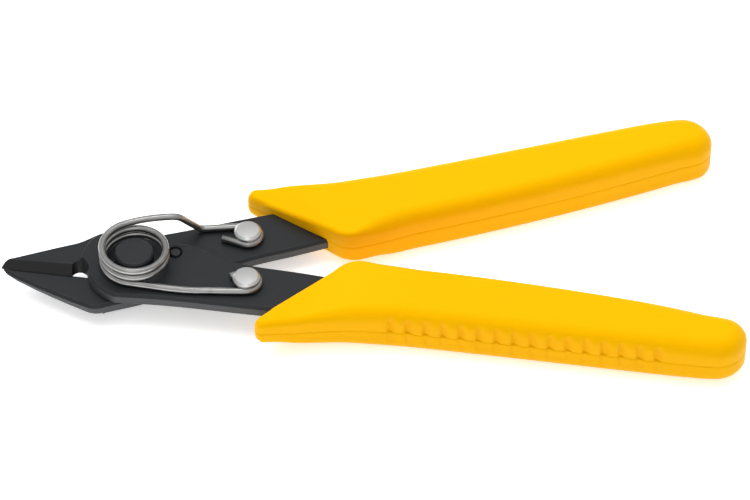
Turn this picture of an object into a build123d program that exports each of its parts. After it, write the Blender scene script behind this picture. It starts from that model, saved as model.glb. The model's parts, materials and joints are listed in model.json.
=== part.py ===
"""Diagonal cutting pliers: two stacked levers on a rivet, a return spring on two
pegs, a stop pin and two moulded grips.

Millimetres. +X runs from the jaws to the handles and +Z is the spring side. The
origin is under the middle of the tool, at the height the grips rest on.
Everything is drawn about the pivot, with z = 0 where the two levers meet, and
each finished piece is then moved to PIVOT. The tool is drawn closed: the cutting
edges meet and the stop pin touches the side of its hole.
"""
import os
from math import atan2, cos, degrees, radians, sin

from build123d import *

os.makedirs("parts", exist_ok=True)


def polar(r, deg):
    return (r * cos(radians(deg)), r * sin(radians(deg)))


# ---- driving dimensions -------------------------------------------------------
PIVOT = Location((-41.29, 0, 4.80))   # pivot axis, and height of the sliding plane
PLATE_T = 2.0             # thickness of each stamped lever
SLIDE_GAP = 0.02          # half of the running gap between the levers
EDGE_BEVEL = 0.5          # broken upper edge of each lever

HUB_R = 8.6               # round of each lever about the pivot
STEP_R = 9.7              # the jaws are ground thinner outside this radius
STEP_RUN = 0.7            # width of the sloping wall at that step
JAW_ROOT_Z = 1.55         # thickness of a jaw at the step
JAW_TIP_Z = 0.9           # thickness of a jaw at its tip
TIP = (-23.75, 1.78)      # end of the cutting line
HEEL = polar(HUB_R, 190)  # start of the cutting line, at the hub
LAND = 0.12               # square part of a cutting edge
BEVEL_TIP = 1.9           # width of the cutting bevel at the tip
BEVEL_HEEL = 1.6          # and at the hub
BYPASS = 0.18             # how far the lower cutting edge passes under the upper one
TRIM = 1.2                # blank left beyond the cutting line before it is ground
SCOOP_R = 1.75            # relief between the cutting edge and the hub
SCOOP_AXIS = (-9.9, -2.5)

RIVET_R = 2.0             # pivot rivet
RIVET_HEAD_R = 3.45
RIVET_HEAD_H = 2.85
RIVET_TAIL_R = 3.3
RIVET_TAIL_H = 0.9
RUNNING = 0.04            # radial clearance of the upper lever on the rivet

STOP_R = 0.9              # stop pin
STOP_ARM = 7.5            # its distance from the pivot
STOP_ANGLE = 13.4         # its direction from the pivot, degrees
STOP_PROUD = 0.5          # how far it stands above the upper lever
STOP_HOLE_R = 1.41        # hole of the upper lever that it moves in
STOP_SWING = 3.75         # from the pin to the middle of that hole, degrees

PEG_HEAD_R = 2.45         # spring pegs: button head, neck and riveted shank
PEG_HEAD_H = 1.0
PEG_NECK_R = 1.65
PEG_NECK_H = 1.36
PEG_SHANK_R = 1.2
UPPER_PEG = (19.7, -6.5)
LOWER_PEG = (20.4, 6.85)

WIRE_R = 0.62             # spring wire
COIL_R = 5.7              # coil centre line
COIL_PITCH = 1.5
COIL_LOW = 257.0          # directions in which the lower and upper legs leave the coil
COIL_TOP = 113.5
COIL_TURN = 720 + COIL_LOW - COIL_TOP
LOOP_R = 2.3              # wire centre line round a peg

GRIP_H = 9.6              # grip thickness
GRIP_ROUND = 2.6
NOTCHES = 16              # notches along the outer side
NOTCH_FROM = 45.0
NOTCH_PITCH = 3.18
NOTCH_DEPTH = 0.5
NOTCH_R = 0.8
TANG_PLAY = 0.02          # play of a tang in its grip

# Edges of a handle and of its tang inside the grip, drawn for the +Y side.
ARM_OUTER = [polar(HUB_R, 116), (3.5, 8.75), (12.0, 10.4), (24.0, 12.9)]
TANG_OUTER = [(24.0, 12.9), (40.0, 15.0), (65.0, 19.5), (86.0, 24.3)]
TANG_END = (89.0, 22.4)
TANG_INNER = [(88.0, 19.4), (65.0, 12.2), (46.0, 8.0), (35.0, 5.45)]
ARM_INNER = [(35.0, 5.45), (29.3, 3.85), (22.0, 2.0), (18.0, 0.6), (14.6, -1.4), (11.6, -3.4),
             (7.4, -4.7)]
# Sides of a grip near its mouth, its slanting mouth and its nose, drawn for the +Y side.
GRIP_OUTER = [(12, 17.4), (22, 17.0), (30, 16.96), (36, 17.02), (40, 17.3), (45, 18.06), (50, 19.0)]
GRIP_INNER = [(45, 4.45), (42, 3.6), (39.2, 3.12), (36.8, 3.3), (34.6, 4.3), (30, 7.0)]
MOUTH = [(35.0, 5.2), (32.0, 7.5), (29.0, 9.75), (25.0, 12.75), (21.6, 15.1)]
NOSE = [MOUTH[-1], (20.85, 16.2), (22.6, 17.25)]
# Half thickness of a grip, which gets thinner towards the mouth in this direction.
THIN_DIR = 32.2
THIN = [(20.0, 2.1), (25.0, 2.15), (28.1, 2.35), (31.8, 2.95), (35.4, 3.65), (39.9, 4.35),
        (44.5, 4.74), (49.0, 4.95)]

CUT_SLOPE = (HEEL[1] - TIP[1]) / (HEEL[0] - TIP[0])


def cut_y(x, shift=0.0):
    """The cutting line in plan."""
    return TIP[1] + CUT_SLOPE * (x - TIP[0]) + shift


def outer_y(x):
    """Outer side of a grip in plan."""
    t = (x - 65) / 25
    return 22.16 + 5.37 * t + 0.18 * t**2 - 0.16 * t**3


def inner_y(x):
    """Inner side of a grip in plan."""
    t = (x - 65) / 25
    return 9.48 + 6.30 * t + 0.66 * t**2 + 0.04 * t**3


def handle(side, play=0.0):
    """Edges of one lever along its handle and round its tang."""
    def place(points, out):
        return [(x, side * (y + out)) for x, y in points]

    arm_out, tang_out = place(ARM_OUTER, play), place(TANG_OUTER, play)
    tang_in, arm_in = place(TANG_INNER, -play), place(ARM_INNER, -play)
    with BuildLine() as outline:
        Spline(*arm_out, tangents=[(1, side * 0.12), (1, side * 0.18)])
        Spline(*tang_out, tangents=[(1, side * 0.18), (1, side * 0.24)])
        ThreePointArc(tang_out[-1], (TANG_END[0] + play, side * TANG_END[1]), tang_in[0])
        Spline(*tang_in, tangents=[(-1, side * -0.32), (-1, side * -0.26)])
        Spline(*arm_in, tangents=[(-1, side * -0.26), (-1, side * -0.1)])
    return outline.line


def plate(outline, bottom):
    """Stamped plate with its upper edges broken all round."""
    with BuildPart() as blank:
        with BuildSketch(Plane.XY.offset(bottom)):
            add(outline)
        extrude(amount=PLATE_T - SLIDE_GAP - EDGE_BEVEL)
        with BuildSketch(Plane.XY.offset(bottom + PLATE_T - SLIDE_GAP - EDGE_BEVEL)):
            add(outline)
        extrude(amount=EDGE_BEVEL, taper=45)
    return blank.part


def beyond_cut(side, shift):
    """Everything on the far side of the cutting line, outside the hub round."""
    with BuildPart() as waste:
        with BuildSketch(Plane.XY.offset(-3)):
            with BuildLine():
                Polyline((-30, cut_y(-30, shift)), (-5, cut_y(-5, shift)),
                         (-5, cut_y(-5, shift) - 9 * side), (-30, cut_y(-30, shift) - 9 * side),
                         close=True)
            make_face()
        extrude(amount=6)
        Cylinder(HUB_R, 8, mode=Mode.SUBTRACT)
    return waste.part


def ground_face(side):
    """Waste above the thinned jaw of the upper lever (+1), below the lower one's (-1)."""
    slope = (JAW_ROOT_Z - JAW_TIP_Z) / (-10.4 - TIP[0])
    high, low = JAW_TIP_Z + slope * (-6 - TIP[0]), JAW_TIP_Z + slope * (-27 - TIP[0])
    with BuildPart() as waste:
        with BuildSketch(Plane.XZ):
            with BuildLine():
                Polyline((-6, side * high), (-27, side * low), (-27, side * 4), (-6, side * 4),
                         close=True)
            make_face()
        extrude(amount=16, both=True)
        with BuildSketch(Plane.XZ):
            with BuildLine():
                Polyline((0, side * 0.5), (STEP_R + STEP_RUN * 2.4, side * 0.5),
                         (STEP_R, side * PLATE_T), (STEP_R - STEP_RUN, side * 5), (0, side * 5),
                         close=True)
            make_face()
        revolve(axis=Axis.Z, mode=Mode.SUBTRACT)
    return waste.part


def bevel_wedge(side, shift):
    """Waste along the cutting edge of the upper (+1) or lower (-1) lever."""
    def section(x, width, top):
        y = cut_y(x, shift)
        with BuildSketch(Plane(origin=(x, 0, 0), x_dir=(0, 1, 0), z_dir=(1, 0, 0))) as cut:
            with BuildLine():
                Polyline((y - 2 * side, side * LAND), (y, side * LAND),
                         (y + side * width, side * top), (y + side * 2.4 * width, side * 2.4 * top),
                         (y - 2 * side, side * 2.4 * top), close=True)
            make_face()
        return cut.sketch

    with BuildPart() as waste:
        loft([section(-26, BEVEL_TIP, JAW_TIP_Z), section(HEEL[0] + 0.1, BEVEL_HEEL, JAW_ROOT_Z)],
             ruled=True)
    return waste.part


# ---- upper lever: jaw on the +Y side, handle on the -Y side ---------------------
with BuildSketch() as upper_outline:
    with BuildLine():
        add(handle(-1))
        Spline((7.4, 4.7), (1.9, 6.45), (-5.4, 8.25), (-9.7, 6.1), (-13.3, 5.25),
               tangents=[(-1, 0.1), (-1, -0.2)])
        Line((-13.3, 5.25), (-21.6, 3.45))
        ThreePointArc((-21.6, 3.45), (-23.3, 2.7), (-23.95, cut_y(-23.95, -TRIM)))
        Line((-23.95, cut_y(-23.95, -TRIM)), polar(HUB_R, 198))
        ThreePointArc(polar(HUB_R, 198), polar(HUB_R, 221), polar(HUB_R, 244))
    make_face()

with BuildPart() as lever_upper:
    add(plate(upper_outline.sketch, SLIDE_GAP))
    add(beyond_cut(1, 0), mode=Mode.SUBTRACT)
    add(ground_face(1), mode=Mode.SUBTRACT)
    add(bevel_wedge(1, 0), mode=Mode.SUBTRACT)
    with Locations(Location((SCOOP_AXIS[0], SCOOP_AXIS[1], 0), (-45, 0, 0))):
        Cylinder(SCOOP_R, 14, mode=Mode.SUBTRACT)
    Cylinder(RIVET_R + RUNNING, 3 * PLATE_T, mode=Mode.SUBTRACT)
    with Locations(polar(STOP_ARM, STOP_ANGLE + STOP_SWING)):
        Cylinder(STOP_HOLE_R, 3 * PLATE_T, mode=Mode.SUBTRACT)
    with Locations(UPPER_PEG):
        Cylinder(PEG_SHANK_R, 3 * PLATE_T, mode=Mode.SUBTRACT)

# ---- lower lever: jaw on the -Y side, handle on the +Y side ---------------------
# The blank is drawn handle down, like the upper one, and then turned over.
with BuildSketch() as lower_outline:
    with BuildLine():
        add(handle(-1))
        Spline((7.4, 4.7), (1.9, 6.3), (-5.4, 8.15), tangents=[(-1, 0.1), (-1, 0.25)])
        ThreePointArc((-5.4, 8.15), (-7.2, 8.55), (-8.9, 8.05))
        ThreePointArc((-8.9, 8.05), (-16.5, 3.45), (-23.2, -1.15))
        ThreePointArc((-23.2, -1.15), (-24.15, -2.1), (-24.4, -cut_y(-24.4, TRIM)))
        Line((-24.4, -cut_y(-24.4, TRIM)), polar(HUB_R, 179))
        ThreePointArc(polar(HUB_R, 179), polar(HUB_R, 212), polar(HUB_R, 244))
    make_face()

with BuildPart() as lever_lower:
    add(plate(lower_outline.sketch, -PLATE_T).mirror(Plane.XZ))
    add(beyond_cut(-1, BYPASS), mode=Mode.SUBTRACT)
    add(ground_face(-1), mode=Mode.SUBTRACT)
    add(bevel_wedge(-1, BYPASS), mode=Mode.SUBTRACT)
    Cylinder(RIVET_R, 3 * PLATE_T, mode=Mode.SUBTRACT)
    with Locations(polar(STOP_ARM, STOP_ANGLE)):
        Cylinder(STOP_R, 3 * PLATE_T, mode=Mode.SUBTRACT)
    with Locations(LOWER_PEG):
        Cylinder(PEG_SHANK_R, 3 * PLATE_T, mode=Mode.SUBTRACT)

# ---- pivot rivet: shank, tall flat head inside the coil, formed tail below ------
with BuildPart() as pivot_rivet:
    with BuildSketch(Plane.XZ):
        with BuildLine():
            top, foot = PLATE_T + SLIDE_GAP + RIVET_HEAD_H, -PLATE_T - RIVET_TAIL_H
            Polyline((0, foot), (RIVET_TAIL_R - 0.5, foot), (RIVET_TAIL_R, foot + 0.5),
                     (RIVET_TAIL_R, -PLATE_T), (RIVET_R, -PLATE_T), (RIVET_R, PLATE_T + SLIDE_GAP),
                     (RIVET_HEAD_R, PLATE_T + SLIDE_GAP), (RIVET_HEAD_R, top - 0.35),
                     (RIVET_HEAD_R - 0.35, top), (0, top), close=True)
        make_face()
    revolve(axis=Axis.Z)

# ---- stop pin, pressed into the lower lever -------------------------------------
with BuildPart() as stop_pin:
    with Locations((*polar(STOP_ARM, STOP_ANGLE), -PLATE_T)):
        Cylinder(STOP_R, 2 * PLATE_T + STOP_PROUD, align=(Align.CENTER, Align.CENTER, Align.MIN))
    chamfer(stop_pin.edges().group_by(Axis.Z)[-1], 0.15)


def peg(centre, floor, depth):
    """Spring peg riveted into a plate whose upper face is at floor."""
    with BuildPart() as button:
        with BuildSketch(Plane.XZ):
            with BuildLine():
                neck, crown = floor + PEG_NECK_H, floor + PEG_NECK_H + PEG_HEAD_H
                dome = ((PEG_HEAD_R - 0.4) ** 2 + 0.15**2) / 0.3
                Line((0, floor - depth), (PEG_SHANK_R, floor - depth))
                Line((PEG_SHANK_R, floor - depth), (PEG_SHANK_R, floor))
                Line((PEG_SHANK_R, floor), (PEG_NECK_R, floor))
                Line((PEG_NECK_R, floor), (PEG_NECK_R, neck))
                Line((PEG_NECK_R, neck), (PEG_HEAD_R, neck))
                Line((PEG_HEAD_R, neck), (PEG_HEAD_R, crown - 0.55))
                Line((PEG_HEAD_R, crown - 0.55), (PEG_HEAD_R - 0.4, crown - 0.15))
                RadiusArc((PEG_HEAD_R - 0.4, crown - 0.15), (0, crown), -dome)
                Line((0, crown), (0, floor - depth))
            make_face()
        revolve(axis=Axis.Z)
    return Pos(centre[0], centre[1], 0) * button.part


with BuildPart() as peg_upper:
    add(peg(UPPER_PEG, PLATE_T, PLATE_T - SLIDE_GAP))
with BuildPart() as peg_lower:
    add(peg(LOWER_PEG, -SLIDE_GAP, PLATE_T - SLIDE_GAP))

# ---- return spring: coil round the rivet head, one leg looped round each peg ----
COIL_Z = PLATE_T + WIRE_R + 0.1           # lowest point of the coil centre line
LEG_Z = PLATE_T + WIRE_R + 0.03
FAR_Z = WIRE_R + 0.03
with BuildPart() as torsion_spring:
    with BuildLine() as wire:
        rise = COIL_PITCH * COIL_TURN / 360
        coil = Helix(COIL_PITCH, rise, COIL_R, center=(0, 0, COIL_Z), lefthand=True,
                     mode=Mode.PRIVATE).rotate(Axis.Z, COIL_LOW)
        low, high = coil @ 0, coil @ 1
        ux, uy = UPPER_PEG
        lx, ly = LOWER_PEG
        end = polar(LOOP_R, 108)
        stub = Line((ux + end[0] - 2.2 * sin(radians(108)), uy + end[1] + 2.2 * cos(radians(108)),
                     LEG_Z), (ux + end[0], uy + end[1], LEG_Z))
        ThreePointArc((ux + end[0], uy + end[1], LEG_Z), (ux + LOOP_R, uy, LEG_Z),
                      (ux, uy - LOOP_R, LEG_Z))
        Spline((ux, uy - LOOP_R, LEG_Z), (11.4, -8.15, LEG_Z), low,
               tangents=[(-1, 0.02, 0), coil % 0])
        add(coil)
        bend, foot = (7.7, 6.95, high.Z), (12.9, 9.1, FAR_Z)
        Spline(high, (3.0, 6.8, high.Z), bend, tangents=[coil % 1, (1, 0.05, 0)])
        Spline(bend, (9.3, 7.5, high.Z - 1.6), (11.3, 8.55, FAR_Z + 1.5), foot,
               tangents=[(1, 0.05, 0), (1, 0.05, 0)])
        Spline(foot, (lx, ly + LOOP_R, FAR_Z), tangents=[(1, 0.05, 0), (1, 0, 0)])
        end = polar(LOOP_R, -114)
        ThreePointArc((lx, ly + LOOP_R, FAR_Z), (lx + LOOP_R, ly, FAR_Z),
                      (lx + end[0], ly + end[1], FAR_Z))
        Line((lx + end[0], ly + end[1], FAR_Z),
             (lx + end[0] - 4 * sin(radians(114)), ly + end[1] + 4 * cos(radians(66)), FAR_Z))
    with BuildSketch(Plane(origin=stub @ 0, z_dir=stub % 0)):
        Circle(WIRE_R)
    sweep(path=wire.line)


def mirrored(points, side):
    return [(x, side * y) for x, y in points]


def grip(side):
    """Moulded grip on the tang of the lower (+1) or upper (-1) lever."""
    outer = mirrored(GRIP_OUTER + [(x, outer_y(x)) for x in (60, 75, 90, 99)], side)
    inner = mirrored([(x, inner_y(x)) for x in (100, 90, 75, 60, 50)] + GRIP_INNER, side)
    along = polar(1, side * THIN_DIR)
    with BuildPart() as sleeve:
        with BuildSketch(Plane.XY.offset(-GRIP_H / 2)):
            with BuildLine():
                Spline(*outer)
                Spline(outer[-1], (103.6, side * 28.9), (106.4, side * 24.7),
                       (104.3, side * 21.2), inner[0],
                       tangents=[(1, side * 0.2), (-1, side * -0.36)])
                Spline(*inner)
                Line(inner[-1], outer[0])
            make_face()
        extrude(amount=GRIP_H)
        fillet([e for e in sleeve.edges() if abs(abs(e.center().Z) - GRIP_H / 2) < 1e-3
                and (e.center().X > 40 or e.center().Y * side > 14)], GRIP_ROUND)
        # thinner towards the mouth, above and below
        for up in (1, -1):
            with BuildSketch(Plane(origin=(0, 0, 0), x_dir=(*along, 0),
                                   z_dir=(along[1], -along[0], 0))):
                with BuildLine():
                    slope = Spline(*mirrored(THIN, up), tangents=[(1, 0), (1, up * 0.05)])
                    Polyline(slope @ 1, (THIN[-1][0], up * 8), (-10, up * 8),
                             (-10, up * THIN[0][1]), slope @ 0)
                make_face()
            extrude(amount=60, both=True, mode=Mode.SUBTRACT)
        # slanting mouth and rounded nose
        with BuildSketch(Plane.XY.offset(-GRIP_H)):
            with BuildLine():
                mouth, nose = mirrored(MOUTH, side), mirrored(NOSE, side)
                Spline(*mouth)
                Spline(*nose, tangents=[(-1, side * 0.8), (1, side * 0.12)])
                Polyline(nose[-1], (22.6, side * 20), (5, side * 20), (5, 0), (34.6, 0), mouth[0])
            make_face()
        extrude(amount=2 * GRIP_H, mode=Mode.SUBTRACT)
        for i in range(NOTCHES):
            x = NOTCH_FROM + i * NOTCH_PITCH
            lean = degrees(atan2(outer_y(x + 1) - outer_y(x - 1), 2))
            with Locations(Pos(x, side * (outer_y(x) + NOTCH_R - NOTCH_DEPTH), 0)
                           * Rot(0, 0, side * lean)):
                Cylinder(NOTCH_R, 2 * GRIP_H, mode=Mode.SUBTRACT)
        with BuildSketch(Plane.XY.offset(0 if side < 0 else -PLATE_T - TANG_PLAY)):
            with BuildLine():
                tang = handle(side, TANG_PLAY)
                add(tang)
                Line(tang @ 1, tang @ 0)
            make_face()
        extrude(amount=PLATE_T + TANG_PLAY, mode=Mode.SUBTRACT)
    return sleeve.part


with BuildPart() as grip_upper:
    add(grip(-1))
with BuildPart() as grip_lower:
    add(grip(1))

for piece, label in ((lever_upper, "lever_upper"), (lever_lower, "lever_lower"),
                     (pivot_rivet, "pivot_rivet"), (stop_pin, "stop_pin"),
                     (peg_upper, "peg_upper"), (peg_lower, "peg_lower"),
                     (torsion_spring, "torsion_spring"),
                     (grip_upper, "grip_upper"), (grip_lower, "grip_lower")):
    placed = PIVOT * piece.part
    placed.label = label
    export_step(placed, f"parts/{label}.step")
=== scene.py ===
"""Diagonal cutting pliers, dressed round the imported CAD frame.

The levers, rivet, stop pin and spring pegs are the CAD nodes with a finish put on
them. The two moulded grips and the wire spring are new meshes that stand for their
plain CAD nodes. Shapes are worked out in millimetres about the pivot, as the CAD
draws them, and placed in the frame by PIVOT.
"""

import json
from math import cos, pi, radians, sin

import bpy
import numpy as np
from mathutils import Matrix, Vector
from mathutils.geometry import delaunay_2d_cdt


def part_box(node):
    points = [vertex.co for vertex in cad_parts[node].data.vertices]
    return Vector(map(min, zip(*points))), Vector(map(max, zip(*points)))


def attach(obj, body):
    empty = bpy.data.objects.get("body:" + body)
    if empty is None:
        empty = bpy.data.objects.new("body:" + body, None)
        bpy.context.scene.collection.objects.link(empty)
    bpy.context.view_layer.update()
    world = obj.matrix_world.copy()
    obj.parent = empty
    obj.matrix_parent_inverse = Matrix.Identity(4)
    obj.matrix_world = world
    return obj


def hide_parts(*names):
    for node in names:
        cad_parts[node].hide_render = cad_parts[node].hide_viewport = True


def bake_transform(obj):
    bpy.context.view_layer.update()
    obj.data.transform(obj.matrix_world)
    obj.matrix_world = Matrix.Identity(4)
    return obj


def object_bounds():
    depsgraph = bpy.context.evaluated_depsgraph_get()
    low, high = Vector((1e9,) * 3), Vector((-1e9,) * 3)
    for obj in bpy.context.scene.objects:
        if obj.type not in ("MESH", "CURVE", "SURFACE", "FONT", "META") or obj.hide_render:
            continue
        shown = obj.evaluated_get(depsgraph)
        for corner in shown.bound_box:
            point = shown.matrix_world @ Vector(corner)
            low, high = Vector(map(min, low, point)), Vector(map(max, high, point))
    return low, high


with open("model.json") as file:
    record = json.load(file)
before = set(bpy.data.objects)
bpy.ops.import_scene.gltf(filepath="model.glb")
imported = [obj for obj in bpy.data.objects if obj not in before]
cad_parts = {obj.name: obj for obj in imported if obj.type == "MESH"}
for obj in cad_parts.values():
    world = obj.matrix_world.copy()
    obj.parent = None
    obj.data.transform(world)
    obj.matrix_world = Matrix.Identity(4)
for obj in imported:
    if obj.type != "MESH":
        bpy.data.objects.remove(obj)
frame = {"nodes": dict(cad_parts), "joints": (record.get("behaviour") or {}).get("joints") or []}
cad_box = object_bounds()

MM = 0.001
PIVOT = Vector(frame["joints"][0]["pos_m"])
HUB_R = 8.6                                # round end of each lever about the pivot


def polar(r, deg):
    return (r * cos(radians(deg)), r * sin(radians(deg)))


def placed(points):
    """Points in millimetres about the pivot, as metres in the frame."""
    return np.asarray(points, float) * MM + np.array(PIVOT)


def peg_axis(node):
    """Plan position of a spring peg, in millimetres about the pivot."""
    low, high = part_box(node)
    middle = ((low + high) / 2 - PIVOT) / MM
    return (middle.x, middle.y)


# ---- finishes -----------------------------------------------------------------
class Finish:
    """A principled material whose roughness, colour and relief vary over the piece."""

    def __init__(self, name, colour, roughness, metallic=0.0, **sockets):
        self.material = bpy.data.materials.new(name)
        self.material.use_nodes = True
        self.tree = self.material.node_tree
        self.shader = self.tree.nodes["Principled BSDF"]
        self.shader.inputs["Base Color"].default_value = (*colour, 1)
        self.shader.inputs["Roughness"].default_value = roughness
        self.shader.inputs["Metallic"].default_value = metallic
        for socket, value in sockets.items():
            self.shader.inputs[socket.replace("_", " ")].default_value = value
        self.place = self.node("ShaderNodeTexCoord").outputs["Object"]
        self.normal = None

    def node(self, kind, **settings):
        made = self.tree.nodes.new(kind)
        for key, value in settings.items():
            setattr(made, key, value)
        return made

    def link(self, source, target):
        self.tree.links.new(source, target)

    def noise(self, size, detail=3.0, stretch=(1, 1, 1)):
        """Noise with features of about that size in metres."""
        mapping = self.node("ShaderNodeMapping")
        mapping.inputs["Scale"].default_value = stretch
        self.link(self.place, mapping.inputs["Vector"])
        noise = self.node("ShaderNodeTexNoise")
        noise.inputs["Scale"].default_value = 1 / size
        noise.inputs["Detail"].default_value = detail
        self.link(mapping.outputs["Vector"], noise.inputs["Vector"])
        return noise.outputs["Fac"]

    def ranged(self, source, low, high, to_low, to_high):
        span = self.node("ShaderNodeMapRange")
        for socket, value in zip(("From Min", "From Max", "To Min", "To Max"),
                                 (low, high, to_low, to_high)):
            span.inputs[socket].default_value = value
        self.link(source, span.inputs["Value"])
        return span.outputs["Result"]

    def vary_roughness(self, source, low, high):
        self.link(self.ranged(source, 0.3, 0.7, low, high), self.shader.inputs["Roughness"])

    def vary_colour(self, source, one, other):
        mix = self.node("ShaderNodeMix", data_type="RGBA")
        mix.inputs["A"].default_value = (*one, 1)
        mix.inputs["B"].default_value = (*other, 1)
        self.link(source, mix.inputs["Factor"])
        self.link(mix.outputs["Result"], self.shader.inputs["Base Color"])

    def relief(self, source, depth, strength=1.0):
        bump = self.node("ShaderNodeBump")
        bump.inputs["Distance"].default_value = depth
        bump.inputs["Strength"].default_value = strength
        self.link(source, bump.inputs["Height"])
        if self.normal:
            self.link(self.normal, bump.inputs["Normal"])
        self.normal = bump.outputs["Normal"]
        self.link(self.normal, self.shader.inputs["Normal"])

    def soften_edges(self, radius):
        bevel = self.node("ShaderNodeBevel", samples=4)
        bevel.inputs["Radius"].default_value = radius
        self.normal = bevel.outputs["Normal"]
        self.link(self.normal, self.shader.inputs["Normal"])
        return bevel.outputs["Normal"]

    def worn_edges(self, radius, base, worn):
        """Lighter colour where the surface turns a corner, broken up by noise."""
        turned = self.soften_edges(radius)
        dot = self.node("ShaderNodeVectorMath", operation="DOT_PRODUCT")
        self.link(turned, dot.inputs[0])
        self.link(self.node("ShaderNodeNewGeometry").outputs["Normal"], dot.inputs[1])
        edge = self.ranged(dot.outputs["Value"], 0.995, 0.86, 0.0, 1.0)
        patch = self.ranged(self.noise(0.0011, 5), 0.42, 0.62, 0.25, 1.0)
        self.vary_colour(self.product(edge, patch), base, worn)

    def product(self, one, other):
        both = self.node("ShaderNodeMath", operation="MULTIPLY")
        self.link(one, both.inputs[0])
        self.link(other, both.inputs[1])
        return both.outputs["Value"]

    def tint(self, colour, *limits):
        """Another colour where every (source, from, to) in limits has passed from."""
        share = None
        for source, low, high in limits:
            reached = self.ranged(source, low, high, 0.0, 1.0)
            share = self.product(share, reached) if share else reached
        before = self.shader.inputs["Base Color"].links[0].from_socket
        mix = self.node("ShaderNodeMix", data_type="RGBA")
        mix.inputs["B"].default_value = (*colour, 1)
        self.link(share, mix.inputs["Factor"])
        self.link(before, mix.inputs["A"])
        self.link(mix.outputs["Result"], self.shader.inputs["Base Color"])

    def split(self, vector):
        parts = self.node("ShaderNodeSeparateXYZ")
        self.link(vector, parts.inputs["Vector"])
        return parts.outputs


# the first colour greys the sheared sides; the second is painted shade, a near-black standing in for
# the shade on the ground cutting bevel
SHEARED, BEVEL_SHADE = (0.042, 0.044, 0.047), (0.0012, 0.0013, 0.0016)


def blackened_steel(cutting_side=0):
    """Stamped steel with a black oxide finish: fine grain, rubbed edges, greyer sheared
    sides. The ground bevel of a cutting edge, which faces cutting_side along Y, gets painted shade: a
    blacker colour for the shade it lies in."""
    finish = Finish("black_steel", (0.014, 0.016, 0.018), 0.42, Specular_IOR_Level=0.4)
    finish.worn_edges(0.00022, (0.0105, 0.0125, 0.0145), (0.055, 0.06, 0.064))
    finish.vary_roughness(finish.noise(0.004, 5), 0.38, 0.52)
    finish.relief(finish.noise(0.00016, 2), 0.000012, 0.5)
    finish.relief(finish.noise(0.0026, 4, (1, 0.5, 1)), 0.00003, 0.25)
    normal, place = finish.split(finish.place.node.outputs["Normal"]), finish.split(finish.place)
    finish.tint(SHEARED, (normal["Z"], 0.3, 0.15), (normal["Z"], -0.3, -0.15))
    # painted shade: the ground bevel of the cutting edge is coloured near-black for the shade it lies
    # in
    if cutting_side:
        jaw = PIVOT.x - HUB_R * MM
        finish.tint(BEVEL_SHADE, (normal["Y"], 0.2 * cutting_side, 0.32 * cutting_side),
                    (normal["Z"], 0.1, 0.3), (place["X"], jaw, jaw - 0.3 * MM))
    return finish.material


def blackened_rivet():
    finish = Finish("black_rivet", (0.02, 0.022, 0.024), 0.4, Specular_IOR_Level=0.4)
    finish.worn_edges(0.00018, (0.013, 0.015, 0.017), (0.08, 0.084, 0.087))
    finish.vary_roughness(finish.noise(0.0012, 4), 0.34, 0.5)
    finish.relief(finish.noise(0.00014, 2, (1, 6, 1)), 0.00001, 0.5)
    return finish.material


def bright_button():
    """Turned and tumbled steel of the spring pegs."""
    finish = Finish("bright_peg", (0.74, 0.74, 0.735), 0.34, metallic=1.0)
    finish.soften_edges(0.00015)
    finish.vary_roughness(finish.noise(0.0009, 4), 0.28, 0.46)
    finish.relief(finish.noise(0.00022, 3), 0.000012, 0.6)
    finish.relief(finish.noise(0.0014, 3), 0.00003, 0.35)
    return finish.material


def drawn_wire():
    """Hard-drawn spring wire: bright, with faint drawing lines and oil-darkened patches."""
    finish = Finish("spring_wire", (0.42, 0.418, 0.413), 0.32, metallic=1.0)
    finish.vary_colour(finish.ranged(finish.noise(0.0022, 4), 0.35, 0.7, 0.0, 1.0),
                       (0.42, 0.418, 0.413), (0.34, 0.338, 0.333))
    finish.vary_roughness(finish.noise(0.0012, 4), 0.28, 0.36)
    finish.relief(finish.noise(0.0005, 2), 0.000003, 0.15)
    return finish.material


def yellow_moulding():
    """Moulded plastic with a satin skin."""
    finish = Finish("yellow_grip", (0.88, 0.425, 0.0), 0.5, Specular_IOR_Level=0.12,
                    Specular_Tint=(1, 0.75, 0.1, 1))
    finish.vary_colour(finish.ranged(finish.noise(0.018, 3), 0.3, 0.7, 0.0, 1.0),
                       (0.87, 0.438, 0.0), (0.85, 0.426, 0.0))
    finish.vary_roughness(finish.noise(0.006, 4), 0.46, 0.56)
    finish.relief(finish.noise(0.00035, 2), 0.000012, 0.4)
    finish.relief(finish.noise(0.009, 2), 0.00006, 0.25)
    return finish.material


# ---- mesh helpers ---------------------------------------------------------------
def mesh_piece(name, points, faces, material, smooth=True):
    data = bpy.data.meshes.new(name)
    data.from_pydata([tuple(p) for p in placed(points)], [], faces)
    data.validate()
    data.update()
    if smooth:
        data.polygons.foreach_set("use_smooth", [True] * len(data.polygons))
    piece = bpy.data.objects.new(name, data)
    bpy.context.scene.collection.objects.link(piece)
    data.materials.append(material)
    return piece


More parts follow.
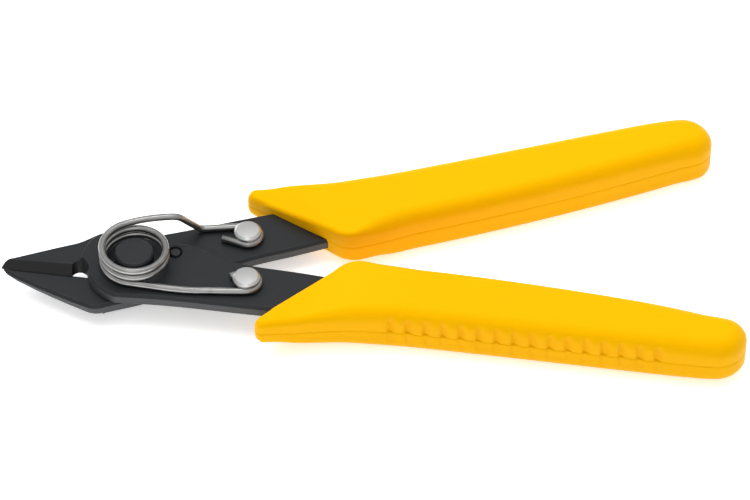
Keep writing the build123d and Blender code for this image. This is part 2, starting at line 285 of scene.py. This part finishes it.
def round_through(points, count):
    """Points evenly spaced along a smooth closed curve through the given ones."""
    p = np.asarray(points, float)
    p = np.vstack([p[-1:], p, p[:2]])
    fine = []
    for i in range(1, len(p) - 2):
        a, b, c, d = p[i - 1:i + 3]
        ta = np.linalg.norm(b - a) ** 0.5
        tb = np.linalg.norm(c - b) ** 0.5
        tc = np.linalg.norm(d - c) ** 0.5
        m1 = tb * ((b - a) / ta - (c - a) / (ta + tb) + (c - b) / tb)
        m2 = tb * ((c - b) / tb - (d - b) / (tb + tc) + (d - c) / tc)
        t = np.linspace(0, 1, 40, endpoint=False)[:, None]
        fine.append((2 * t**3 - 3 * t**2 + 1) * b + (t**3 - 2 * t**2 + t) * m1
                    + (3 * t**2 - 2 * t**3) * c + (t**3 - t**2) * m2)
    fine = np.vstack(fine + [p[-2:-1]])
    along = np.concatenate([[0], np.cumsum(np.linalg.norm(np.diff(fine, axis=0), axis=1))])
    wanted = np.linspace(0, along[-1], count, endpoint=False)
    return np.stack([np.interp(wanted, along, fine[:, k]) for k in range(fine.shape[1])], 1)


def eased(t):
    t = np.clip(t, 0, 1)
    return t * t * (3 - 2 * t)


# ---- grips ------------------------------------------------------------------------
# The plan of a grip, drawn for the +Y side: mouth, outer side, tail end, inner side.
GRIP_HALF = 4.8
NOSE_HALF = 2.3
THIN_DIR, THIN_FROM, THIN_TO = 32.2, 24.0, 45.0   # where a grip thins towards its mouth
FALL_DIR, FALL_FROM, FALL_TO, FALL = 25.0, 72.0, 85.8, 0.45      # and, above, to its tail
SIDE_FROM, SIDE_REACH = 30.0, 10.0              # where the edges reach their full rounding
NOSE_ROUND, SIDE_ROUND, TAIL_MORE = 1.2, 2.6, 0.3   # rounding of the edges in plan
TAIL_FROM, TAIL_LENGTH = 90.0, 12.0
BULB_RISE, BULB_FROM, BULB_REACH = 1.7, 26.0, 5.0   # height of the rounding round the nose
BEND_SHARE, EVEN_OVER, EVEN_ROUNDS = 0.85, 9, 40    # rounding kept under the plan's own bends
LIFT, LIFT_FROM, LIFT_TO = 1.0, 26.0, 34.0       # the mouth is centred on the plate it takes
NOTCHES, NOTCH_FROM, NOTCH_PITCH, NOTCH_DEPTH = 16, 44.1, 3.07, 0.6
SEAM_DEPTH, SEAM_WIDTH = 0.13, 0.24
AROUND, FLAT_STEP = 720, 1.0               # points round a grip, and mesh size of its flats


def outer_y(x):
    t = (x - 65) / 25
    return 22.16 + 5.37 * t + 0.18 * t**2 - 0.16 * t**3


def inner_y(x):
    t = (x - 65) / 25
    return 9.48 + 6.30 * t + 0.66 * t**2 + 0.04 * t**3


MOUTH = [(35.25, 5.0), (34.1, 5.9), (32.0, 7.5), (29.0, 9.75), (25.0, 12.75)]
NOSE = [(23.2, 14.07), (21.8, 15.1), (21.1, 15.7), (20.7, 16.5), (20.95, 17.3), (21.75, 17.8),
        (23.0, 17.7)]
OUTER = [(25, 17.4), (30, 17.06), (36, 17.04), (40, 17.34), (45, 18.06), (50, 19.0)]
OUTER += [(x, outer_y(x)) for x in range(55, 100, 5)]
TAIL = [(99.8, 29.45), (102.1, 29.5), (104.1, 28.75), (105.7, 27.1), (106.5, 24.8),
        (106.1, 22.8), (104.7, 21.2), (102.4, 20.3)]
INNER = [(x, inner_y(x)) for x in range(100, 45, -5)]
INNER += [(45, 4.42), (42, 3.6), (39.4, 3.14), (37.6, 3.42), (36.3, 4.1)]
MOUTH_ACROSS = (0.6, 0.8)                  # in plan, at right angles to the mouth
LIP_ROUND, INNER_ROUND = 0.7, 1.7         # rounding of the mouth, and under the inner side
LIP_FROM, LIP_WIDTH = 0.3, 1.2            # the lip, by distance from the line of the mouth
LIP_START, LIP_LENGTH = 23.0, 2.0         # and by x, behind the nose


def reach(x, y):
    """Distance from the pivot along the direction in which a grip thickens."""
    return x * cos(radians(THIN_DIR)) + y * sin(radians(THIN_DIR))


def half_thickness(x, y, up):
    """From the seam to the top (up = 1) or bottom (-1); the tail end falls away."""
    grown = eased((reach(x, y) - THIN_FROM) / (THIN_TO - THIN_FROM))
    past = np.maximum(x * cos(radians(FALL_DIR)) - y * sin(radians(FALL_DIR)) - FALL_FROM, 0)
    fall = FALL * (past / (FALL_TO - FALL_FROM)) ** 1.5
    return NOSE_HALF + (GRIP_HALF - NOSE_HALF) * grown - (fall if up > 0 else 0)


def lift(x, y, side):
    """Height of the seam, which runs up (or down) to the middle of its own plate."""
    return -side * LIFT * (1 - eased((reach(x, y) - LIFT_FROM) / (LIFT_TO - LIFT_FROM)))


def notch(x):
    """How deep the outer side is notched at x: a short drop, then a slow rise."""
    first = NOTCH_FROM - 0.5 * NOTCH_PITCH
    p = (x - first) / NOTCH_PITCH
    inside = (p > 0.4) & (p < NOTCHES + 0.4)
    q = np.mod(p - 0.5, 1.0)
    return np.where(inside, np.maximum(1 - eased(q / 0.5), eased((q - 0.87) / 0.13)), 0)


def evened(values):
    """Values round a closed loop, smoothed with their neighbours."""
    for _ in range(EVEN_ROUNDS):
        values = (np.roll(values, 1) + values + np.roll(values, -1)) / 3
    return values


def grip(name, side, material):
    """Moulded grip of the +Y (side = 1) or -Y lever: rings of points from the seam up and
    down to the flats, each ring following the plan outline."""
    loop = round_through(MOUTH + NOSE + OUTER + TAIL + INNER, AROUND)
    total = len(loop)

    tangent = np.roll(loop, -1, 0) - np.roll(loop, 1, 0)
    tangent /= np.linalg.norm(tangent, axis=1)[:, None]
    inward = np.stack([tangent[:, 1], -tangent[:, 0]], 1)

    # rounding of the edges: tight round the nose and mouth, full along the sides and tail;
    # its height (rise) is more than its width round the nose, so that the nose is a bulb
    x, y = loop[:, 0], loop[:, 1]
    rounding = (NOSE_ROUND + (SIDE_ROUND - NOSE_ROUND) * eased((reach(x, y) - SIDE_FROM) / SIDE_REACH)
                + TAIL_MORE * eased((x - TAIL_FROM) / TAIL_LENGTH))
    bulb = BULB_RISE * (1 - eased((reach(x, y) - BULB_FROM) / BULB_REACH))
    off_mouth = (x - MOUTH[-1][0]) * MOUTH_ACROSS[0] + (y - MOUTH[-1][1]) * MOUTH_ACROSS[1]
    at_lip = (1 - eased((off_mouth - LIP_FROM) / LIP_WIDTH)) * eased((x - LIP_START) / LIP_LENGTH)
    rounding = rounding + (LIP_ROUND - rounding) * at_lip
    bulb = bulb * (1 - at_lip)
    step_out = np.linalg.norm(np.roll(loop, -1, 0) - np.roll(loop, 1, 0), axis=1) / 2
    ahead, behind = np.roll(tangent, -1, 0), np.roll(tangent, 1, 0)
    turning = (behind[:, 0] * ahead[:, 1] - behind[:, 1] * ahead[:, 0]) / 2
    bend_radius = step_out / np.maximum(np.abs(turning), 1e-6)
    rounding = np.minimum(rounding, BEND_SHARE * bend_radius)
    rounding = np.min([np.roll(rounding, k) for k in range(-EVEN_OVER, EVEN_OVER + 1)], axis=0)
    rounding = evened(rounding)
    rise = np.maximum(rounding, bulb)
    on_outer = y > (inner_y(x) + outer_y(x)) / 2
    below = np.where(on_outer | (x < 45), rounding, np.minimum(rounding, INNER_ROUND))
    below = evened(below)
    dent = np.where(on_outer, notch(x), 0.0)

    wall = [0, 0.5 * SEAM_WIDTH, SEAM_WIDTH] + [SEAM_WIDTH + (1 - SEAM_WIDTH) * t
                                                for t in (0.12, 0.25, 0.4, 0.55, 0.7, 0.85, 1)]
    edge = np.radians((10, 20, 30, 40, 50, 60, 70, 80, 90))

    def ring(step, up):
        """One closed ring of the surface, from the seam to the flat of the top or bottom."""
        wide, high = (rounding, rise) if up > 0 else (below, np.maximum(below, bulb))
        if step < len(wall):
            straight = np.maximum(half_thickness(x, y, up) - high, 0.3)
            z = np.full(total, float(wall[step])) if wall[step] <= SEAM_WIDTH else (
                SEAM_WIDTH + (wall[step] - SEAM_WIDTH) / (1 - SEAM_WIDTH) * (straight - SEAM_WIDTH))
            inset = np.zeros(total)
        else:
            angle = edge[step - len(wall)]
            inset = wide * (1 - cos(angle))
        spot = loop + inward * inset[:, None]
        if step >= len(wall):
            z = half_thickness(spot[:, 0], spot[:, 1], up) - high + high * sin(angle)
        fade = 1 - eased((z - 2.2) / 1.7) if up > 0 else 0.45 * (1 - eased((z - 2.0) / 2.2))
        seam = SEAM_DEPTH * max(0.0, 1 - (step / 1.5)) if step < 2 else 0.0
        spot = spot + inward * (NOTCH_DEPTH * dent * fade + seam)[:, None]
        z = up * z + lift(spot[:, 0], spot[:, 1], side)
        return np.column_stack([spot[:, 0], side * spot[:, 1], z])

    steps = len(wall) + len(edge)
    points, faces = [], []

    def sheet(rows):
        """Adds rings and returns the index of each one's first point."""
        starts = []
        for row in rows:
            starts.append(sum(len(r) for r in points))
            points.append(row)
        return starts

    def stitch(a, b):
        for i in range(total):
            j = (i + 1) % total
            quad = (a + i, a + j, b + j, b + i)
            faces.append(quad if side > 0 else quad[::-1])

    seam = ring(0, 1)
    seam[:, :2] = (seam[:, :2] + ring(0, -1)[:, :2]) / 2
    middle = sheet([seam])[0]
    for up in (1, -1):
        rings = [middle] + sheet([ring(k, up) for k in range(1, steps)])
        for a, b in zip(rings, rings[1:]):
            stitch(*((b, a) if up > 0 else (a, b)))
        # the flat of the top or bottom: triangles over evenly spaced points in the last ring
        rim, start = points[-1], rings[-1]
        base = sum(len(r) for r in points)
        low, high = rim[:, :2].min(0), rim[:, :2].max(0)
        spots = [(gx, gy) for gx in np.arange(low[0], high[0], FLAT_STEP)
                 for gy in np.arange(low[1], high[1], FLAT_STEP)
                 if np.min(np.hypot(rim[:, 0] - gx, rim[:, 1] - gy)) > 0.6 * FLAT_STEP]
        given = [Vector(q) for q in list(rim[:, :2]) + spots]
        made = delaunay_2d_cdt(given, [], [list(range(total))], 1, 1e-6)
        index, fresh = {}, []
        for k, (q, origin) in enumerate(zip(made[0], made[3])):
            on_rim = [i for i in origin if i < total]
            if on_rim:
                index[k] = start + on_rim[0]
            else:
                index[k] = base + len(fresh)
                z = up * half_thickness(q.x, side * q.y, up) + lift(q.x, side * q.y, side)
                fresh.append((q.x, q.y, z))
        points.append(np.array(fresh))
        for triangle in made[2]:
            corner = [index[k] for k in triangle]
            faces.append(tuple(corner if up > 0 else corner[::-1]))
    return mesh_piece(name, np.vstack(points), faces, material)


# ---- return spring ------------------------------------------------------------------
WIRE_R = 0.62
COIL_R, COIL_PITCH = 5.7, 1.5
COIL_LOW, COIL_TOP = 257.0, 113.5          # directions in which the legs leave the coil
COIL_TURN = 720 + COIL_LOW - COIL_TOP
COIL_Z, LEG_Z, FAR_Z = 2.72, 2.65, 0.65
LOOP_R = 2.3
STUB, HOOK = 2.2, 4.0                      # straight ends past the two loops
STUB_DIR, HOOK_DIR = 108, 114              # directions of those ends from the pegs, degrees
LEG_BEND = (11.4, -8.15)                   # where the near leg leaves its straight run
BEND_RADII = (2.2, 1.8)
END_BREAK, END_LENGTH = 0.14, 0.12         # broken edge of the cut ends
SPRING_BENDS = [(8.05, 6.85), (11.9, 9.05)]
WIRE_SIDES = 20


def arc(centre, radius, start, end, z, step=6):
    """Points round a centre in plan from one direction to another."""
    count = max(2, int(abs(end - start) / step) + 1)
    return [(centre[0] + radius * cos(a), centre[1] + radius * sin(a), z)
            for a in np.radians(np.linspace(start, end, count))]


def leaning(p, along, q, beyond, count=16):
    """Curve from p, heading along, to q, arriving in direction beyond."""
    p, q, along, beyond = (np.asarray(v, float) for v in (p, q, along, beyond))
    reach = np.linalg.norm(q - p)
    t = np.linspace(0, 1, count)[:, None]
    return list((2 * t**3 - 3 * t**2 + 1) * p + (t**3 - 2 * t**2 + t) * reach * along
                + (3 * t**2 - 2 * t**3) * q + (t**3 - t**2) * reach * beyond)


def bent(before, corner, after, radius):
    """Round bend of wire at a corner."""
    a, c, b = (np.asarray(v, float) for v in (before, corner, after))
    u, v = (a - c) / np.linalg.norm(a - c), (b - c) / np.linalg.norm(b - c)
    half = np.arccos(np.clip(np.dot(u, v), -1, 1)) / 2
    back = radius / np.tan(half)
    middle = c + (u + v) / np.linalg.norm(u + v) * radius / sin(half)
    start, end = c + u * back - middle, c + v * back - middle
    sweep = pi - 2 * half
    return [middle + (sin((1 - t) * sweep) * start + sin(t * sweep) * end) / sin(sweep)
            for t in np.linspace(0, 1, 9)]


def spring_path():
    near, far = peg_axis("peg_upper"), peg_axis("peg_lower")
    first = polar(LOOP_R, STUB_DIR)
    path = [(near[0] + first[0] - STUB * sin(radians(STUB_DIR)),
             near[1] + first[1] + STUB * cos(radians(STUB_DIR)), LEG_Z)]
    path += arc(near, LOOP_R, STUB_DIR, -90, LEG_Z)
    coil = [(*polar(COIL_R, COIL_LOW - a), COIL_Z + COIL_PITCH * a / 360)
            for a in np.arange(0, COIL_TURN + 0.1, COIL_TURN / 220)]
    enter = (sin(radians(COIL_LOW)), -cos(radians(COIL_LOW)), 0.0)
    path += leaning(path[-1], (-1, 0.03, 0), (*LEG_BEND, LEG_Z), (-1, 0.07, 0))[1:]
    path += leaning((*LEG_BEND, LEG_Z), (-1, 0.07, 0), coil[0], enter)[1:-1]
    path += coil
    top = coil[-1][2]
    leave = (sin(radians(COIL_TOP)), -cos(radians(COIL_TOP)), 0.0)
    high, low = (*SPRING_BENDS[0], top), (*SPRING_BENDS[1], FAR_Z)
    meet = (far[0], far[1] + LOOP_R, FAR_Z)
    path += leaning(coil[-1], leave, (high[0] - 1.6, high[1] - 0.02, top), (1, 0.01, 0))[1:]
    path += bent(path[-1], high, low, BEND_RADII[0])
    path += bent(high, low, meet, BEND_RADII[1])
    path += arc(far, LOOP_R, 90, -HOOK_DIR, FAR_Z)
    last = polar(LOOP_R, -HOOK_DIR)
    path += [(far[0] + last[0] - HOOK * sin(radians(HOOK_DIR)),
              far[1] + last[1] + HOOK * cos(radians(180 - HOOK_DIR)), FAR_Z)]
    return np.array(path, float)


def spring(name, material):
    """Round wire swept along its path, with slightly broken ends."""
    path = spring_path()
    keep = np.concatenate([[True], np.linalg.norm(np.diff(path, axis=0), axis=1) > 0.02])
    path = path[keep]
    heading = np.gradient(path, axis=0)
    heading /= np.linalg.norm(heading, axis=1)[:, None]
    across = np.cross(heading[0], (0, 0, 1.0))
    across /= np.linalg.norm(across)
    turn = np.linspace(0, 2 * pi, WIRE_SIDES, endpoint=False)
    rings = []

    def add_ring(spot, along, radius):
        other = np.cross(along, across)
        rings.append(spot + radius * (np.cos(turn)[:, None] * across
                                      + np.sin(turn)[:, None] * other))

    add_ring(path[0] - heading[0] * END_LENGTH, heading[0], WIRE_R - END_BREAK)
    for spot, along in zip(path, heading):
        across = across - np.dot(across, along) * along
        across /= np.linalg.norm(across)
        add_ring(spot, along, WIRE_R)
    add_ring(path[-1] + heading[-1] * END_LENGTH, heading[-1], WIRE_R - END_BREAK)
    n = WIRE_SIDES
    faces = [(k * n + i, k * n + (i + 1) % n, (k + 1) * n + (i + 1) % n, (k + 1) * n + i)
             for k in range(len(rings) - 1) for i in range(n)]
    faces.append(tuple(range(n))[::-1])
    faces.append(tuple(range((len(rings) - 1) * n, len(rings) * n)))
    return mesh_piece(name, np.vstack(rings), faces, material)


# ---- put together -------------------------------------------------------------------
steel, rivet, peg, wire, yellow = (blackened_steel(), blackened_rivet(), bright_button(),
                                   drawn_wire(), yellow_moulding())
# steel of the upper lever, with painted shade on its cutting bevel
bevel_shaded_steel = blackened_steel(cutting_side=-1)
for node, material in (("lever_upper", bevel_shaded_steel), ("lever_lower", steel),
                       ("pivot_rivet", rivet), ("stop_pin", rivet),
                       ("peg_upper", peg), ("peg_lower", peg)):
    slots = frame["nodes"][node].data.materials
    slots.clear()
    slots.append(material)

for name, side, body in (("moulded_grip_upper", -1, "upper_arm"),
                         ("moulded_grip_lower", 1, "lower_arm")):
    piece = grip(name, side, yellow)
    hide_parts("grip_upper" if side < 0 else "grip_lower")
    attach(piece, body)

wound = spring("wound_spring", wire)
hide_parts("torsion_spring")
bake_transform(wound)

# ---- floor, light and camera ----------------------------------------------------------
FLOOR_SIZE, FLOOR_SHADE, FLOOR_GLOW = 6.0, 0.93, 0.48
floor_data = bpy.data.meshes.new("floor")
far, level = FLOOR_SIZE / 2, cad_box[0][2]
floor_data.from_pydata([(-far, -far, level), (far, -far, level), (far, far, level),
                        (-far, far, level)], [], [(0, 1, 2, 3)])
floor = bpy.data.objects.new("floor", floor_data)
bpy.context.scene.collection.objects.link(floor)
pale = bpy.data.materials.new("pale_floor")
pale.use_nodes = True
pale_shader = pale.node_tree.nodes["Principled BSDF"]
for socket, value in (("Base Color", (FLOOR_SHADE, FLOOR_SHADE, FLOOR_SHADE, 1)),
                      ("Roughness", 0.9), ("Specular IOR Level", 0.0),
                      ("Emission Color", (1, 1, 1, 1)), ("Emission Strength", FLOOR_GLOW)):
    pale_shader.inputs[socket].default_value = value
floor_data.materials.append(pale)

SKY_LOW, SKY_HIGH = 0.25, 0.86         # brightness of the studio at the horizon and overhead
world = bpy.data.worlds.new("studio")
world.use_nodes = True
sky, links = world.node_tree.nodes, world.node_tree.links
direction = sky.new("ShaderNodeTexCoord").outputs["Generated"]
height = sky.new("ShaderNodeSeparateXYZ")
links.new(direction, height.inputs["Vector"])
sky["Background"].inputs["Color"].default_value = (1, 1, 1, 1)
shade = sky.new("ShaderNodeMapRange")
for socket, value in (("From Min", 0.0), ("From Max", 1.0), ("To Min", SKY_LOW),
                      ("To Max", SKY_HIGH)):
    shade.inputs[socket].default_value = value
links.new(height.outputs["Z"], shade.inputs["Value"])
links.new(shade.outputs["Result"], sky["Background"].inputs["Strength"])
bpy.context.scene.world = world


def softbox(name, spot, size, power, aim=(0, 0, 0), gleams=False):
    """Square area light at spot, in metres, facing aim."""
    data = bpy.data.lights.new(name, "AREA")
    data.size, data.energy = size, power
    light = bpy.data.objects.new(name, data)
    light.location = spot
    light.rotation_euler = (Vector(aim) - Vector(spot)).to_track_quat("-Z", "Y").to_euler()
    light.visible_glossy = gleams
    bpy.context.scene.collection.objects.link(light)


softbox("key", (-0.45, 0.35, 0.9), 0.8, 6.0)
softbox("overhead", (0.3, 0.5, 0.9), 1.0, 3.6)
softbox("strip", (0.0, 0.12, 0.7), 0.14, 0.45, gleams=True)
softbox("front", (-0.1, -0.62, 0.62), 0.35, 0.45, gleams=True)

VIEW_DISTANCE = 0.650                  # from the camera to the pivot, along the view
VIEW_ELEVATION, VIEW_TURN = 46.0, 3.5  # degrees above the floor, and round from the +Y direction
VIEW_ASIDE, VIEW_ABOVE = 0.0428, 0.00364
LENS, FILM = 174.72, 36.0

camera_data = bpy.data.cameras.new("camera")
camera_data.sensor_width, camera_data.lens = FILM, LENS
camera = bpy.data.objects.new("camera", camera_data)
bpy.context.scene.collection.objects.link(camera)
e, a = radians(VIEW_ELEVATION), radians(VIEW_TURN)
right = Vector((cos(a), -sin(a), 0))
forward = Vector((sin(a) * cos(e), cos(a) * cos(e), -sin(e)))
up = right.cross(forward)
spot = PIVOT - VIEW_DISTANCE * forward + VIEW_ASIDE * right + VIEW_ABOVE * up
camera.matrix_world = Matrix((
    (right.x, up.x, -forward.x, spot.x),
    (right.y, up.y, -forward.y, spot.y),
    (right.z, up.z, -forward.z, spot.z),
    (0, 0, 0, 1)))
bpy.context.scene.camera = camera
bpy.context.scene.view_settings.view_transform = "Standard"
